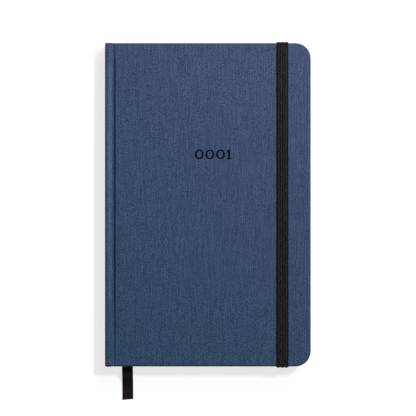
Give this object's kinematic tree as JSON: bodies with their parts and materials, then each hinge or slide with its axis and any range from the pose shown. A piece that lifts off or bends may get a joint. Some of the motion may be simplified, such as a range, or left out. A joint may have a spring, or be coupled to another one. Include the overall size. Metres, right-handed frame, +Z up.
{
  "type": "hardcover logbook",
  "caption": "Hardcover logbook: linen case hinged to a sewn block of pages, with flyleaves, a ribbon marker and an elastic strap that holds the covers closed.",
  "frame": {"origin": "middle of the closed book's underside, on the surface it lies on, measured without the ribbon marker", "axes": "+X towards the fore edge, +Y towards the head, +Z up through the front cover; the spine is on the -X side"},
  "size_m": [0.1334, 0.2329, 0.0181],
  "materials": {
    "linen": "navy book linen, plain weave with slubs, matt",
    "board": "grey binder's board",
    "stamp_ink": "matt black pigment foil pressed into the linen",
    "endpaper": "heavy uncoated endpaper, warm white",
    "page_paper": "uncoated text paper, cream white",
    "elastic": "black woven elastic with lengthwise ribs",
    "satin": "black satin ribbon",
    "thread": "white sewing thread",
    "gauze": "open cotton gauze",
    "kraft": "brown kraft lining paper",
    "band_cotton": "woven cotton band, white and navy"
  },
  "bodies": {
    "text_block": {"signature_01": "page_paper", "signature_02": "page_paper", "signature_03": "page_paper", "signature_04": "page_paper", "signature_05": "page_paper", "signature_06": "page_paper", "signature_07": "page_paper", "signature_08": "page_paper", "signature_09": "page_paper", "signature_10": "page_paper", "signature_11": "page_paper", "signature_12": "page_paper", "sewing_thread": "thread", "spine_mull": "gauze", "spine_lining": "kraft", "head_band": "band_cotton", "tail_band": "band_cotton", "ribbon_marker": "satin", "spine_board": "board", "spine_cloth": "linen", "front_joint_cloth": "linen", "back_joint_cloth": "linen", "front_endpaper_fold": "endpaper", "back_endpaper_fold": "endpaper"},
    "front_cover": {"front_board": "board", "front_cloth": "linen", "cover_stamp": "stamp_ink", "front_pastedown": "endpaper"},
    "back_cover": {"back_board": "board", "back_cloth": "linen", "back_pastedown": "endpaper", "elastic_anchor_head": "elastic", "elastic_anchor_tail": "elastic"},
    "front_leaf": {"front_flyleaf": "endpaper"},
    "back_leaf": {"back_flyleaf": "endpaper"},
    "strap": {"elastic_band": "elastic"}
  },
  "joints": [
    {"name": "front_cover_hinge", "type": "hinge", "parent": "text_block", "child": "front_cover", "pos_m": [-0.06315, 0, 0.0148], "axis": [0, -1, 0], "range_deg": [0, 180], "deforming": ["front_joint_cloth"]},
    {"name": "back_cover_hinge", "type": "hinge", "parent": "text_block", "child": "back_cover", "pos_m": [-0.06315, 0, 0.00238], "axis": [0, 1, 0], "range_deg": [0, 180], "deforming": ["back_joint_cloth"]},
    {"name": "front_leaf_turn", "type": "hinge", "parent": "text_block", "child": "front_leaf", "pos_m": [-0.0593, 0, 0.01392], "axis": [0, -1, 0], "range_deg": [0, 135]},
    {"name": "back_leaf_turn", "type": "hinge", "parent": "text_block", "child": "back_leaf", "pos_m": [-0.0593, 0, 0.00326], "axis": [0, 1, 0], "range_deg": [0, 135]},
    {"name": "strap_release", "type": "hinge", "parent": "back_cover", "child": "strap", "pos_m": [0.0483, 0, 0.00859], "axis": [0, 1, 0], "range_deg": [0, 180], "deforming": ["elastic_band"]}
  ],
  "couplings": [
    {"joint": "front_leaf_turn", "follows": "front_cover_hinge", "ratio": 0.75},
    {"joint": "back_leaf_turn", "follows": "back_cover_hinge", "ratio": 0.75},
    {"joint": "strap_release", "follows": "front_cover_hinge", "ratio": 1}
  ]
}
